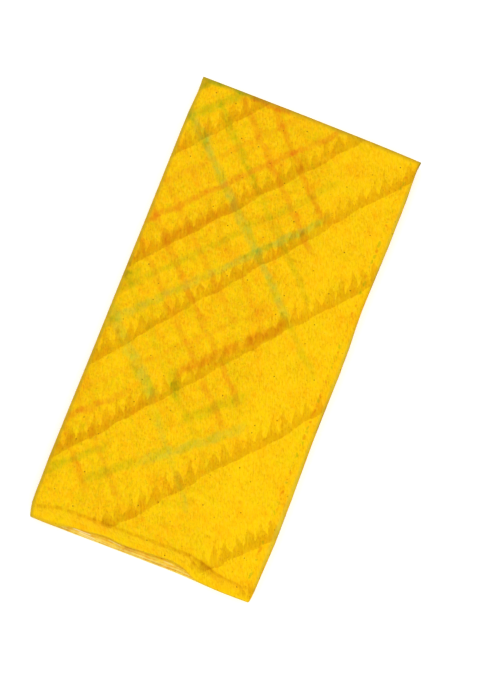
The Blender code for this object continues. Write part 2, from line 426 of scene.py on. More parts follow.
# A band is strongest at its foot, up to this height, and then goes faint towards its teeth. It is
# faintest at this share of its height with them.
FOOT_START = 0.002
FOOT_STRENGTH = 1.12
TIP_SHARE = 0.9
TIP_STRENGTH = 0.62
SPIRE_POWER = 1.05

# A stain is level up to this share of its reach. The next four are in metres. The rest place painted
# shade along the crease and at the noses of the folds, and the painted highlights of the slivers.
STAIN_CORE = 0.25
CREASE_MIDDLE = 0.0012
NOSE_TIP = 0.0004
SLIVER_HALF_WIDTH = 0.001
SLIVER_END = 0.004
NOSE_STRENGTH = 0.5

# Tints, which the colour below them is multiplied by.
GREEN_YARN = (0.93, 1.0, 0.8)
ORANGE_YARN = (1.0, 0.86, 0.9)
DARK_YARN = (0.84, 0.76, 0.6)
DARK_SLUB = (0.86, 0.76, 0.6)
DULL = (0.93, 0.9, 0.82)
WARM_MARGIN = (1.0, 0.93, 0.9)
WARM_LEFT = (0.84, 0.68, 0.55)
STAIN = (0.62, 0.52, 0.4)
# The last four are painted shade: the crease line, its deeper part where a band meets it, the shadow
# past the crease and the fine lines between the lower folds.
CREASE = (0.77, 0.64, 0.42)
MEETING = (0.89, 0.82, 0.66)
SHADOW = (0.94, 0.88, 0.78)
FOLD_LINE = (0.92, 0.7, 0.5)

# What the silk, its weave and the floor have the same all over.
WHITE = (1.0, 1.0, 1.0)
SILK_FINISH = {
    "Specular IOR Level": 0.1,
    "Specular Tint": (1.0, 0.72, 0.12),
    "Sheen Weight": 0.05,
    "Sheen Roughness": 0.35,
    "Sheen Tint": (1.0, 0.7, 0.12),
}
WEAVE_BUMP = {"Strength": 0.5, "Distance": 0.00008}
FLOOR_FINISH = {"Roughness": 0.95, "Specular IOR Level": 0.05, "Emission Color": WHITE}

FLOOR_DROP = 0.0003
LIGHTS = {"back_light": (-1.1, 1.2, 1.7), "front_light": (1.0, -1.4, 1.6)}
LIGHT_SIZE = 1.6
CAMERA_AIM = (0.0151, 0.0017, 0.0)
SENSOR_WIDTH = 36.0
NEAREST_SEEN = 0.05

# Maps and attributes of the cloth.
CLOTH_MAP = "cloth"
BAKE_MAP = "OFBake"
PAST_CREASE = "past_crease"
BEHIND_NOSE = "behind_nose"

# Islands of the second map: left, bottom, right and top.
TOP_ISLAND = (0.004, 0.004, 0.700, 0.996)
UNDER_ISLAND = (0.708, 0.504, 0.996, 0.996)
REST_ISLAND = (0.708, 0.004, 0.996, 0.496)


def quantity(name, description, default, **more):
    """Returns a property for a number."""
    return FloatProperty(name=name, description=description, default=default, **more)


def metres(name, description, default):
    """Returns a property for a length."""
    return quantity(name, description, default, unit="LENGTH", precision=5)


def angle(name, description, degrees):
    """Returns a property for an angle."""
    return quantity(name, description, math.radians(degrees), subtype="ANGLE")


def colour(name, description, default):
    """Returns a property for a linear colour."""
    return FloatVectorProperty(
        name=name, description=description, default=default, size=3, min=0.0, max=1.0, subtype="COLOR"
    )


class SareeSheetSettings(bpy.types.PropertyGroup):
    """Sizes of the folded silk sheet."""

    thickness: metres("Silk thickness", "Thickness of one ply of silk", 0.00028)
    top_rows: IntProperty(
        name="Top rows", description="Rows of faces on the top panel's level part", default=96, min=8
    )
    ripple: metres("Ripple", "Height of the top panel's slow ripples", 0.00018)


class SareeDyeSettings(bpy.types.PropertyGroup):
    """Colours and pattern sizes of the silk, with the colours of its painted shade, sheen and
    highlights.
    """

    ground: colour("Ground", "Yellow of the silk", (0.945, 0.590, 0.0022))
    ground_deep: colour("Deep ground", "Yellow of the silk where it is deeper", (0.860, 0.470, 0.0018))
    band: colour("Band", "Tint of the toothed bands", (0.82, 0.715, 0.50))
    red: colour("Red stripe", "Dye of the red stripes", (0.62, 0.090, 0.003))
    pink: colour("Pink stripe", "Dye of the pink stripes", (0.68, 0.105, 0.006))
    green: colour("Green stripe", "Dye of the green stripes", (0.06, 0.28, 0.003))
    teal: colour("Teal stripe", "Dye of the teal stripes", (0.14, 0.41, 0.052))
    slub: colour("Slub", "Brown of the specks", (0.10, 0.035, 0.004))
    fleck: colour("Fleck", "Yellow of the paler flecks", (0.930, 0.590, 0.020))
    # The next four paint light: edge and selvedge are painted shade in dark lines along the outer
    # edges, and edge also at the folds' noses at the front; pale is painted sheen and sliver painted
    # highlights on the lower folds.
    edge: colour("Edge", "Olive of the cloth's outer edges", (0.480, 0.325, 0.016))
    selvedge: colour("Selvedge", "Olive of the selvedge on the right", (0.600, 0.470, 0.035))
    pale: colour("Pale fold", "Paler silk of the lower folds at the front", (0.93, 0.74, 0.19))
    sliver: colour("Sliver", "Light slivers on the lower folds", (0.98, 0.86, 0.42))
    solid_height: metres("Band height", "Height of a band's solid part", 0.0115)
    tooth_height: metres("Tooth height", "Height of a band with its teeth", 0.0360)
    tooth_pitch: metres("Tooth pitch", "Distance between the teeth's tips", 0.0153)
    tooth_start: metres("Tooth start", "Place of a tooth's tip", 0.0068)
    lean: quantity("Lean", "How far the yarns lean across, per metre along", 0.404)


class SareeStageSettings(bpy.types.PropertyGroup):
    """The floor, the lights and the camera."""

    floor: colour("Floor", "Colour of the floor", (0.96, 0.96, 0.96))
    floor_glow: quantity("Floor glow", "Strength of the light from under the floor", 0.24, min=0.0)
    floor_size: metres("Floor size", "Side of the floor", 14.0)
    sky: quantity("Sky", "Strength of the even light", 0.86, min=0.0)
    key: quantity("Key", "Power of each large soft light", 12.0, min=0.0, unit="POWER")
    distance: metres("Camera distance", "Distance from the camera to what it looks at", 2.4)
    tilt: angle("Camera tilt", "Tilt of the camera from straight down", 8.415)
    turn: angle("Camera turn", "Turn of the camera about its own line of sight", 21.448)
    lens: quantity("Lens", "Focal length on a 36 mm sensor", 104.67, subtype="DISTANCE_CAMERA")


def read_table(rows, column, at):
    """Reads a column where its rows' first column is at a value, on a smooth curve."""
    keys = np.array([row[0] for row in rows])
    values = np.array([getattr(row, column) for row in rows])
    slopes = np.gradient(values, keys)
    at = np.clip(at, keys[0], keys[-1])
    end = np.clip(np.searchsorted(keys, at, side="right"), 1, len(keys) - 1)
    start = end - 1
    span = keys[end] - keys[start]
    t = (at - keys[start]) / span
    rise = t * t * (3 - 2 * t)
    start_pull = span * slopes[start] * t * (1 - t) ** 2
    end_pull = span * slopes[end] * t * t * (1 - t)
    return values[start] * (1 - rise) + values[end] * rise + start_pull - end_pull


def front_tip(share, number):
    """Returns how far a pair's front fold lies behind the pack's front."""
    fold = FOLDS[number]
    edge = read_table(FRONT, "edge", share)
    if fold.name == "top":
        return edge + read_table(FRONT, "lip", share)
    if fold.name in HIDDEN_PAIRS:
        edge = edge + read_table(FRONT, "crease", share)
    turn = 2 * math.pi * WAVES_ACROSS * share + number
    return edge + fold.front + fold.wave * (1 + np.sin(turn))


def crease_line(share):
    """Returns how far the top pair's crease lies from the pack's back."""
    edge = read_table(FRONT, "edge", share)
    return LENGTH - edge - read_table(FRONT, "crease", share)


def droop_at(share, ahead, run):
    """Returns the drop of the top pair and its slope at a distance ahead of its crease."""
    drop = DROOP_SHARE * PANEL_PITCH * read_table(FRONT, "drop", share)
    t = np.clip(ahead / run, 0.0, 1.0)
    return drop * t * t * (3 - 2 * t), drop * 6 * t * (1 - t) / run


def back_fold(share, number):
    """Returns how far a turn or end at the back lies from the pack's back."""
    fold = BACK_FOLDS[number]
    turn = OUTER_RADIUS if "turn" in fold.name else 0.0
    return read_table(BACK, "edge", share) + fold.inside + turn


def panel_line(share, number, start, rows):
    """Returns the line midway between a pair's two panels, from the back to its front turn.

    Each point is its distance from the pack's back, its height and its slope downwards.
    """
    stop = LENGTH - front_tip(share, number) - OUTER_RADIUS
    height = PANEL_THICKNESS / 2 + (2 * number + 0.5) * PANEL_PITCH + 0 * share
    level = 0 * share
    if FOLDS[number].name != "top":
        return [(start + (stop - start) * row, height, level) for row in PANEL_ROWS]
    crease = crease_line(share)
    front_steps = DROOP_STEPS + LIP_STEPS
    run = (stop - crease) * DROOP_STEPS / front_steps
    places = [start + (crease - start) * row for row in rows[:-1]]
    places += [crease + (stop - crease) * i / front_steps for i in range(front_steps + 1)]
    line = []
    for place in places:
        drop, slope = droop_at(share, place - crease, run)
        line.append((place, height - drop, slope))
    return line


def beside(point, offset):
    """Moves a point of a pair's line squarely off it, up for a positive offset."""
    place, height, slope = point
    scale = offset / np.hypot(1.0, slope)
    return place + slope * scale, height + scale


def turn_points(centre, heading, radius):
    """Returns the points inside a half turn that starts below its centre and ends above it.

    The heading is the unit step towards the turn's nose, in distance from the back and height.
    """
    side = 1 if np.all(heading[0] > 0) else -1
    points = []
    for i in range(1, TURN_STEPS):
        bend = math.pi * i / TURN_STEPS
        along = radius * math.sin(bend)
        up = -radius * math.cos(bend) * side
        place = centre[0] + heading[0] * along - heading[1] * up
        height = centre[1] + heading[1] * along + heading[0] * up
        points.append((place, height))
    return points


def sheet_section(share, above, top_rows):
    """Returns the rows of the sheet from its lower end to its upper end.

    The share and the height above a panel's middle are arrays with one value for each column. Each
    row is its distances from the back, its heights, its place up the pairs and its part of the
    pack.
    """
    section = []
    level_rows = [i / top_rows for i in range(top_rows + 1)]
    outside = TURN_RADIUS + above
    inside = TURN_RADIUS - above
    for number in range(PAIRS):
        upper_part = "top" if number + 1 == PAIRS else "middle"
        lower_part = "under" if number == 0 else "middle"
        line = panel_line(share, number, back_fold(share, number), PANEL_ROWS)
        upper = panel_line(share, number, back_fold(share, number + 1), level_rows)
        place, height, slope = line[-1]
        length = np.hypot(1.0, slope)
        for point in line:
            section.append((*beside(point, -outside), number, lower_part))
        nose = turn_points((place, height), (1.0 / length, -slope / length), outside)
        for place, height in nose:
            section.append((place, height, number, upper_part))
        for point in reversed(upper):
            section.append((*beside(point, outside), number, upper_part))
        if number + 1 < PAIRS:
            centre = (back_fold(share, number + 1), upper[0][1] + PANEL_PITCH)
            for place, height in turn_points(centre, (-1.0, 0.0), inside):
                section.append((place, height, number + 0.5, "middle"))
    return section


def lift_at(share, from_back):
    """Returns how much the pack is lofted here: 1 on the level, and a little more on a rise."""
    lift = 1.0
    for rise in RISES:
        across = (share - rise.share) * WIDTH / rise.half_width
        along = (from_back - rise.from_back) / rise.half_length
        lift = lift + rise.lift * np.exp(-across * across - along * along)
    return lift


def ridge_height(across, from_back):
    """Returns the height of the top panel's soft ridges."""
    height = 0 * across
    for ridge in RIDGES:
        run = np.array([ridge.to_across - ridge.across, ridge.to_back - ridge.from_back])
        length = np.hypot(*run)
        run = run / length
        ahead = (across - ridge.across) * run[0] + (from_back - ridge.from_back) * run[1]
        aside = (across - ridge.across) * run[1] - (from_back - ridge.from_back) * run[0]
        past = np.clip((np.abs(ahead / length - 0.5) - RIDGE_LEVEL) / RIDGE_END, 0.0, 1.0)
        height = height + ridge.height * np.exp(-(aside / ridge.half_width) ** 2) * (1 - past * past)
    return height


def ripple_height(across, from_back, size):
    """Returns the height of slow uneven ripples, never below 0."""
    bend = np.sin(from_back * BEND_RATE)
    height, highest = 0.0, 0.0
    for ripple in RIPPLES:
        turn = across * ripple.across + from_back * ripple.along + ripple.start + bend * ripple.bend
        height = height + np.sin(turn) * ripple.height
        highest = highest + ripple.height
    return size * (height + highest) / highest


def sheet_columns():
    """Returns the columns of the sheet from its upper selvedge to its lower one.

    They are arrays: the share across the pack, the height above a panel's middle, the bulge to the
    right at a fold, and the ply that the column belongs to.
    """
    columns = []
    for number, ply in enumerate(PLY_LIST):
        for i in range(ply.segments + 1):
            step = i / ply.segments
            columns.append((step if ply.to_right else 1 - step, ply.above, 0.0, number))
        if number + 1 == len(PLY_LIST):
            break
        following = PLY_LIST[number + 1]
        middle = (ply.above + following.above) / 2
        radius = (ply.above - following.above) / 2
        side = 1 if ply.to_right else -1
        for i in range(1, FOLD_SEGMENTS):
            bend = math.pi * i / FOLD_SEGMENTS
            bulge = side * abs(radius) * math.sin(bend)
            columns.append((float(ply.to_right), middle + radius * math.cos(bend), bulge, number))
    share, above, bulge, ply_of = np.array(columns).T
    return share, above, bulge, ply_of.astype(int)


def tuck_at(ply_of, from_back, pair):
    """Returns how far each ply's right side lies inside the pack's."""
    tuck = np.array([ply.tuck for ply in PLY_LIST])[ply_of]
    sway = np.array([ply.sway for ply in PLY_LIST])[ply_of]
    phase = PHASE_OF_PAIR * pair + PHASE_OF_PLY * np.minimum(ply_of, LAST_PHASE_PLY)
    for wave in TUCK_WAVES:
        tuck = tuck + sway * wave.height * np.sin(from_back * wave.rate + wave.phases * phase)
    return tuck


def sheet_places(settings):
    """Returns the sheet's points as rows of columns, their marks and the part each row belongs to.

    The marks are how far a point of the top panel lies past its crease, and how far each point
    lies behind the nose of its pair.
    """
    share, above, bulge, ply_of = sheet_columns()
    section = sheet_section(share, above, settings.top_rows)
    outer_fold = PLY_LIST[0].above
    right_room = np.where(np.isin(ply_of, (1, 2)), abs(PLY_LIST[3].above), 0.0)
    crease = crease_line(share)
    noses = [LENGTH - front_tip(share, number) for number in range(PAIRS)]
    rest = PANEL_THICKNESS / 2
    places, marks, parts = [], [], []
    for from_back, height, pair, part in section:
        left = read_table(SIDES, "left", from_back) + outer_fold
        right = read_table(SIDES, "right", from_back)
        right = WIDTH - right - right_room - tuck_at(ply_of, from_back, pair)
        shift = float(np.interp(pair, range(PAIRS), [fold.shift for fold in FOLDS]))
        across = left + share * (right - left) + bulge + shift
        lift = np.where(height > rest, lift_at(share, from_back), 1.0)
        lofted = rest + (height - rest) * lift
        if part == "top":
            fade = np.clip((crease - from_back) / CREASE_FADE, 0.0, 1.0)
            soft = ridge_height(across, from_back) + ripple_height(across, from_back, settings.ripple)
            lofted = lofted + fade * fade * (3 - 2 * fade) * soft
        places.append(np.stack([across, LENGTH - from_back, lofted], axis=-1))
        past_crease = from_back - crease if part == "top" else 0 * crease + OFF_TOP
        marks.append(np.stack([past_crease, noses[int(pair)] - from_back], axis=-1))
        parts.append(part)
    return np.array(places), np.array(marks), np.array(parts)


def sheet_lengths(places, parts):
    """Returns the distances along and across the flat sheet of each point, in metres.

    Below the top panel each row has one length all across, so that the pattern stays straight.
    """
    steps = np.linalg.norm(np.diff(places, axis=0), axis=-1)
    hidden = parts[:-1] != "top"
    steps[hidden] = steps[hidden].mean(axis=1, keepdims=True)
    along = np.zeros(places.shape[:2])
    along[:-1] = np.cumsum(steps[::-1], axis=0)[::-1]
    along += LENGTH - places[-1, :, 1]
    steps = np.linalg.norm(np.diff(places, axis=1), axis=-1)
    across = np.zeros(places.shape[:2])
    across[:, 1:] = -np.cumsum(steps, axis=1)
    fold = PLY_LIST[0].segments
    return along, across - across[:, fold : fold + 1]


def island_spots(island, across, along):
    """Returns places in an island of the second map, for shares across and along it."""
    left, bottom, right, top = island
    return np.stack([left + across * (right - left), top - along * (top - bottom)], axis=-1)


def bake_spots(parts, columns, row, column, corner_row, corner_column):
    """Returns the second map's place of each corner, from its face's row and column.

    The outer ply has a large island on the top panel and one on the underside. The plies inside
    the pack share a third.
    """
    outer = column < PLY_LIST[0].segments
    top = outer & (parts[row] == "top") & (parts[row + 1] == "top")
    under = outer & (parts[row] == "under") & (parts[row + 1] == "under")
    last = len(parts) - 1
    across_ply = 1 - corner_column / PLY_LIST[0].segments
    first_top = int(np.argmax(parts == "top"))
    last_under = int(np.argmax(parts != "under")) - 1
    spots = island_spots(REST_ISLAND, corner_column / columns, 1 - corner_row / last)
    on_top = island_spots(TOP_ISLAND, across_ply, (last - corner_row) / (last - first_top))
    below = island_spots(UNDER_ISLAND, across_ply, corner_row / last_under)
    spots = np.where(top[:, None], on_top, spots)
    return np.where(under[:, None], below, spots)


def make_sheet(settings, collection):
    """Folds a flat grid into the pack, maps it and gives it its thickness."""
    places, marks, parts = sheet_places(settings)
    along, across = sheet_lengths(places, parts)
    rows, columns = places.shape[0] - 1, places.shape[1] - 1
    form = bmesh.new()
    bmesh.ops.create_grid(form, x_segments=columns, y_segments=rows, size=0.5)
    mesh = bpy.data.meshes.new("saree_silk")
    form.to_mesh(mesh)
    form.free()
    flat = np.empty(len(mesh.vertices) * 3)
    mesh.vertices.foreach_get("co", flat)
    flat = flat.reshape(-1, 3)
    column = np.rint((flat[:, 0] + 0.5) * columns).astype(int)
    row = np.rint((flat[:, 1] + 0.5) * rows).astype(int)
    low, high = places.min(axis=(0, 1)), places.max(axis=(0, 1))
    middle = (low + high) / 2
    middle[2] = 0.0
    mesh.vertices.foreach_set("co", (places[row, column] - middle).ravel())
    corner = np.empty(len(mesh.loops), dtype=int)
    mesh.loops.foreach_get("vertex_index", corner)
    corner_row, corner_column = row[corner], column[corner]
    first_row = np.repeat(corner_row.reshape(-1, 4).min(axis=1), 4)
    first_column = np.repeat(corner_column.reshape(-1, 4).min(axis=1), 4)
    cloth_map = mesh.uv_layers.new(name=CLOTH_MAP)
    spots = np.stack([across[corner_row, corner_column], along[corner_row, corner_column]], axis=-1)
    cloth_map.uv.foreach_set("vector", spots.ravel())
    bake_map = mesh.uv_layers.new(name=BAKE_MAP)
    spots = bake_spots(parts, columns, first_row, first_column, corner_row, corner_column)
    bake_map.uv.foreach_set("vector", spots.ravel())
    mesh.uv_layers.active = cloth_map
    mesh.uv_layers[CLOTH_MAP].active_render = True
    for number, name in enumerate((PAST_CREASE, BEHIND_NOSE)):
        attribute = mesh.attributes.new(name, "FLOAT", "POINT")
        attribute.data.foreach_set("value", marks[row, column, number])
    mesh.shade_smooth()
    mesh.update()
    sheet = bpy.data.objects.new("saree_silk", mesh)
    collection.objects.link(sheet)
    thickness = sheet.modifiers.new("Silk thickness", "SOLIDIFY")
    thickness.thickness = settings.thickness
    thickness.offset = 0.0
    return sheet


def feed(socket, value):
    """Joins a value to a socket, or sets the socket to a number or a colour."""
    if isinstance(value, Value):
        socket.id_data.links.new(value.socket, socket)
    elif socket.type == "RGBA":
        socket.default_value = (*value, 1.0)
    else:
        socket.default_value = value


def new_node(tree, kind, inputs=(), **settings):
    """Adds a node with its settings and what its inputs take."""
    node = tree.nodes.new(kind)
    for name, value in settings.items():
        setattr(node, name, value)
    for name, value in dict(inputs).items():
        feed(node.inputs[name], value)
    return node


def working(operation):
    """Returns a method that works with a value in a maths node."""
    return lambda value, *others: value.maths(operation, *others)


class Value:
    """A number, a place or a colour in a material. Working with it adds nodes."""

    def __init__(self, socket):
        self.socket = socket

    def then(self, kind, inputs, output=0, **settings):
        """Adds a node and returns one of its outputs."""
        return Value(new_node(self.socket.id_data, kind, inputs, **settings).outputs[output])

    def maths(self, operation, *others):
        return self.then("ShaderNodeMath", enumerate((self, *others)), operation=operation)

    __add__ = working("ADD")
    __sub__ = working("SUBTRACT")
    __mul__ = working("MULTIPLY")
    __truediv__ = working("DIVIDE")
    __mod__ = working("FLOORED_MODULO")
    __lt__ = working("LESS_THAN")
    __gt__ = working("GREATER_THAN")
    __abs__ = working("ABSOLUTE")

    def __rsub__(self, other):
        return self.maths("MULTIPLY_ADD", -1.0, other)

    def ease(self, low, high, start=0.0, end=1.0):
        """Goes smoothly from start to end as this goes from low to high."""
        inputs = enumerate((self, low, high, start, end))
        return self.then("ShaderNodeMapRange", inputs, interpolation_type="SMOOTHSTEP")

    def fade(self, name):
        """Changes with this as a row of FADES says."""
        return self.ease(*FADES[name])

    def noise(self, name):
        """Returns noise from 0 to 1 at this place, as a row of NOISES says."""
        row = NOISES[name]
        inputs = {"Vector": self, "Scale": 1.0 / row.size, "Detail": row.detail}
        return self.then("ShaderNodeTexNoise", {**inputs, "Roughness": row.roughness})

    def cloud(self, name):
        """Returns an uneven amount at this place, from a noise and its fade."""
        return self.noise(name).ease(*NOISES[name].fade)

    def mix(self, below, above, blend="MIX"):
        """Mixes two colours. This is how much of the second one shows."""
        inputs = {0: self, 6: below, 7: above}
        return self.then("ShaderNodeMix", inputs, 2, data_type="RGBA", blend_type=blend)

    def paint(self, colour_above, amount):
        """Lays a colour over this one."""
        return amount.mix(self, colour_above)

    def tint(self, tint, amount):
        """Multiplies this colour by a tint."""
        return amount.mix(self, tint, "MULTIPLY")


def place(across, along):
    """Joins two distances into a place."""
    return across.then("ShaderNodeCombineXYZ", enumerate((across, along)))


def drawn_out(name, across, along):
    """Returns places at which a noise is finer across than along, by its row's number."""
    return place(across * NOISES[name].finer, along)


def ground_colour(dye, spot, leaning, along):
    """Returns the yellow ground with its clouds, uneven yarns and flecks, and the yarns' strokes."""
    cloudy = spot.noise("ground clouds")
    deep = cloudy.fade("deep clouds") + along.fade("deep back")
    ground = deep.mix(dye.ground, dye.ground_deep)
    for grade in ("fine", "broad"):
        hue = place(along, leaning).noise(f"{grade} hue")
        ground = ground.tint(GREEN_YARN, hue.fade(f"{grade} green"))
        ground = ground.tint(ORANGE_YARN, hue.fade(f"{grade} orange"))
    strokes = drawn_out("strokes", leaning, along).noise("strokes")
    ground = ground.tint(DARK_YARN, strokes.ease(*NOISES["strokes"].fade))
    ground = ground.tint(DARK_SLUB, drawn_out("slubs", leaning, along).cloud("slubs"))
    grain = drawn_out("grain", leaning, along).cloud("grain")
    ground = ground.tint(DARK_YARN, grain * cloudy.fade("clouded grain"))
    crosswise = place(along, leaning * NOISES["flecks"].finer)
    return ground.paint(dye.fleck, crosswise.cloud("flecks")), strokes


def stripe_amount(stripe, across, along, patchy):
    """Returns how strongly a stripe of the check shows."""
    aside = abs(along - across * stripe.fall - stripe.start)
    core, rim = stripe.width * STRIPE_CORE, stripe.width * STRIPE_RIM
    amount = aside.ease(core, rim, stripe.strength, 0.0) * patchy
    amount = amount * across.ease(stripe.right + STRIPE_PAST, stripe.right - STRIPE_SHORT)
    if stripe.left > 0:
        amount = amount * across.ease(stripe.left - STRIPE_PAST, stripe.left + STRIPE_SHORT)
    return amount


def add_check(dye, below, spot, across, along, leaning, plain):
    """Adds dull and coloured blotches and a faint check, broken into strokes by the yarns."""
    there = plain * across.fade("check reach")
    below = below.tint(DULL, spot.cloud("dull") * there)
    turned = place(along, across)
    hue = turned.noise("blotches")
    below = below.paint(dye.green, hue.fade("green blotches") * there)
    below = below.paint(dye.pink, hue.fade("pink blotches") * there)
    shimmer = turned.cloud("shimmer")
    dyes = {
        "red": dye.red,
        "pink": (shimmer * RED_IN_PINK).mix(dye.pink, dye.red),
        "green": dye.green,
        "teal": (shimmer * GREEN_IN_TEAL).mix(dye.teal, dye.green),
    }
    patchy = spot.cloud("dabs") * drawn_out("irregular", leaning, along).cloud("irregular") * plain
    swaying = along + spot.cloud("check sway")
    for stripe in STRIPES:
        below = below.paint(dyes[stripe.dye], stripe_amount(stripe, across, swaying, patchy))
    return below


def height_in_band(across, along):
    """Returns how far each place lies above the lower edge of the band below it."""
    far = 2 * FLAT_LENGTH
    last = BANDS[-1].start
    slanted = along + across * BAND_CLIMB
    above = (last - slanted) % BAND_PITCH + (slanted < last) * far
    for band in BANDS:
        height = band.start - across * band.climb - along
        above = above.maths("MINIMUM", height + (height < 0.0) * far)
    return above


def band_amount(dye, spot, across, along, leaning):
    """Returns how strongly a band shows: a solid foot with narrow upright teeth on it."""
    above = height_in_band(across, along + spot.cloud("band sway")) + spot.cloud("fray")
    half_pitch = dye.tooth_pitch / 2
    tooth = leaning - dye.tooth_start + spot.cloud("tooth sway")
    tooth = tooth.maths("PINGPONG", half_pitch) / half_pitch
    spire = (1.0 - tooth).maths("POWER", SPIRE_POWER) * spot.cloud("tooth reach")
    top = spire * (dye.tooth_height - dye.solid_height) + dye.solid_height
    amount = above.fade("band bottom") * (top - above).fade("band top")
    foot = above.ease(FOOT_START, dye.tooth_height * TIP_SHARE, FOOT_STRENGTH, TIP_STRENGTH)
    threads = drawn_out("threads", leaning, along).cloud("threads")
    return amount * foot * threads * spot.cloud("band clouds")


def add_specks(dye, below, spot):
    """Adds small dark slubs, a few strong and more of them faint."""
    tree = spot.socket.id_data
    for speck in SPECKS:
        inputs = {"Vector": spot, "Scale": 1.0 / speck.spacing}
        cells = new_node(tree, "ShaderNodeTexVoronoi", inputs, voronoi_dimensions="2D", feature="F1")
        distance = Value(cells.outputs["Distance"]) * speck.spacing
        chance = spot.then("ShaderNodeSeparateColor", {0: Value(cells.outputs["Color"])})
        dot = distance.ease(speck.radius * SPECK_CORE, speck.radius, 1.0, 0.0)
        below = below.paint(dye.slub, dot * chance.ease(speck.rare, 1.0, 0.0, speck.strength))
    return below


def add_right_margin(dye, below, spot, across, plain):
    """Adds the warm strip inside the right side, with broken dashes along its inner edge."""
    warm = across.fade("margin start") * plain * across.fade("margin end")
    below = below.tint(WARM_MARGIN, warm)
    near = abs(across - MARGIN_INNER).fade("dash line") * plain
    dashes = spot.noise("dashes")
    below = below.paint(dye.red, near * dashes.fade("red dashes"))
    return below.paint(dye.green, near * dashes.fade("green dashes"))


def add_edges(dye, below, spot, across, along):
    """Warms and stains the left fold, and paints shade as dark lines along it, the free end and the
    right selvedge.
    """
    irregular = spot.cloud("worn edge")
    warm = across.fade("warm left") * along.fade("warm back")
    below = below.tint(WARM_LEFT, warm * along.fade("warm front") * irregular)
    for stain in STAINS:
        amount = abs(along - stain.from_back).ease(stain.half_length, 0.0, 0.0, stain.strength)
        below = below.tint(STAIN, amount * across.ease(stain.reach, stain.reach * STAIN_CORE))
    # Painted shade: dark lines along the left fold, the free end and the right selvedge, broken up by
    # noise.
    below = below.paint(dye.edge, abs(across).fade("left fold") * irregular)
    below = below.paint(dye.edge, along.fade("free end") * irregular)
    return below.paint(dye.selvedge, across.fade("right selvedge") * irregular)


def add_front(dye, below, spot, across, past_crease, behind_nose, band):
    """Paints shade at the front: a dark line at the crease, deepest where a band meets it, a shadow
    past it and a dark line at the noses.
    """
    # Painted shade: a broken dark line along the crease, where the top pair bends down.
    broken = spot.cloud("broken crease") * across.fade("crease end")
    line = abs(past_crease - CREASE_MIDDLE).fade("crease")
    below = below.tint(CREASE, line * broken)
    # Painted shade, deeper where a band meets the crease.
    aside = abs(past_crease - across.fade("meeting place"))
    meeting = (1.0 - aside / across.fade("meeting reach")).fade("meeting")
    below = below.tint(MEETING, meeting * band)
    # Painted shadow on the droop past the crease.
    past = past_crease > 0.0
    below = below.tint(SHADOW, past_crease.fade("shadow") * past)
    # A band's own dye on its part folded past the crease.
    folded = across.fade("folded left") * across.fade("folded right")
    folded = folded * past_crease.fade("folded front") * past
    below = below.tint(dye.band, folded)
    # Painted shade: a dark line at the noses of the folds at the front.
    reach = across.fade("nose reach")
    return below.paint(dye.edge, behind_nose.ease(reach, NOSE_TIP, 0.0, NOSE_STRENGTH))


def add_lower_folds(dye, below, across, behind_nose, lower):
    """Paints sheen on the folds that peek out under the top pair, painted shade in fine lines and
    painted highlights in slivers.
    """
    # Painted sheen, paler towards the folds' noses.
    pale = behind_nose.fade("pale fold") + behind_nose.fade("pale rim")
    pale = pale * place(across, behind_nose).cloud("fold clouds")
    below = below.paint(dye.pale, pale * lower * across.fade("pale left"))
    # Painted shade in fine lines between the folds' edges.
    lower = lower * behind_nose.fade("near the nose")
    lines = drawn_out("fold lines", across, behind_nose).cloud("fold lines")
    below = below.tint(FOLD_LINE, lines * behind_nose.fade("off the nose") * lower)
    # Painted highlights: light slivers.
    for sliver in SLIVERS:
        half = (sliver.to_across - sliver.across) / 2
        climb = (sliver.to_behind - sliver.behind) / (2 * half)
        aside = abs(behind_nose - across * climb - (sliver.behind - climb * sliver.across))
        amount = aside.ease(0.0, SLIVER_HALF_WIDTH, sliver.strength, 0.0)
        ends = abs(across - (sliver.across + half)).ease(half, half - SLIVER_END)
        below = below.paint(dye.sliver, amount * ends * lower)
    return below


def silk_colour(dye, across, along, past_crease, behind_nose):
    """Returns the silk's colour, the lie of its yarns and their strokes."""
    spot = place(across, along)
    leaning = across - along * dye.lean
    plain = past_crease < 0.0
    lower = past_crease < OFF_TOP_LIMIT
    now, strokes = ground_colour(dye, spot, leaning, along)
    now = add_check(dye, now, spot, across, along, leaning, plain)
    band = band_amount(dye, spot, across, along, leaning)
    kept = (1.0 - past_crease / across.fade("band reach")).ease(0.0, 1.0)
    now = now.tint(dye.band, band * kept)
    now = add_right_margin(dye, now, spot, across, plain)
    now = add_front(dye, now, spot, across, past_crease, behind_nose, band)
    now = add_lower_folds(dye, now, across, behind_nose, lower)
    now = add_specks(dye, now, spot)
    now = add_edges(dye, now, spot, across, along)
    warp = drawn_out("yarns", leaning, along).noise("yarns")
    weft = place(leaning, along * NOISES["yarns"].finer).noise("yarns")
    return now, warp + weft + strokes, strokes


def new_material(name, finish):
    """Adds a material and sets what its finish has the same all over."""
    material = bpy.data.materials.new(name)
    material.use_nodes = True
    shader = material.node_tree.nodes["Principled BSDF"]
    for socket, value in finish.items():
        feed(shader.inputs[socket], value)
    return material, shader


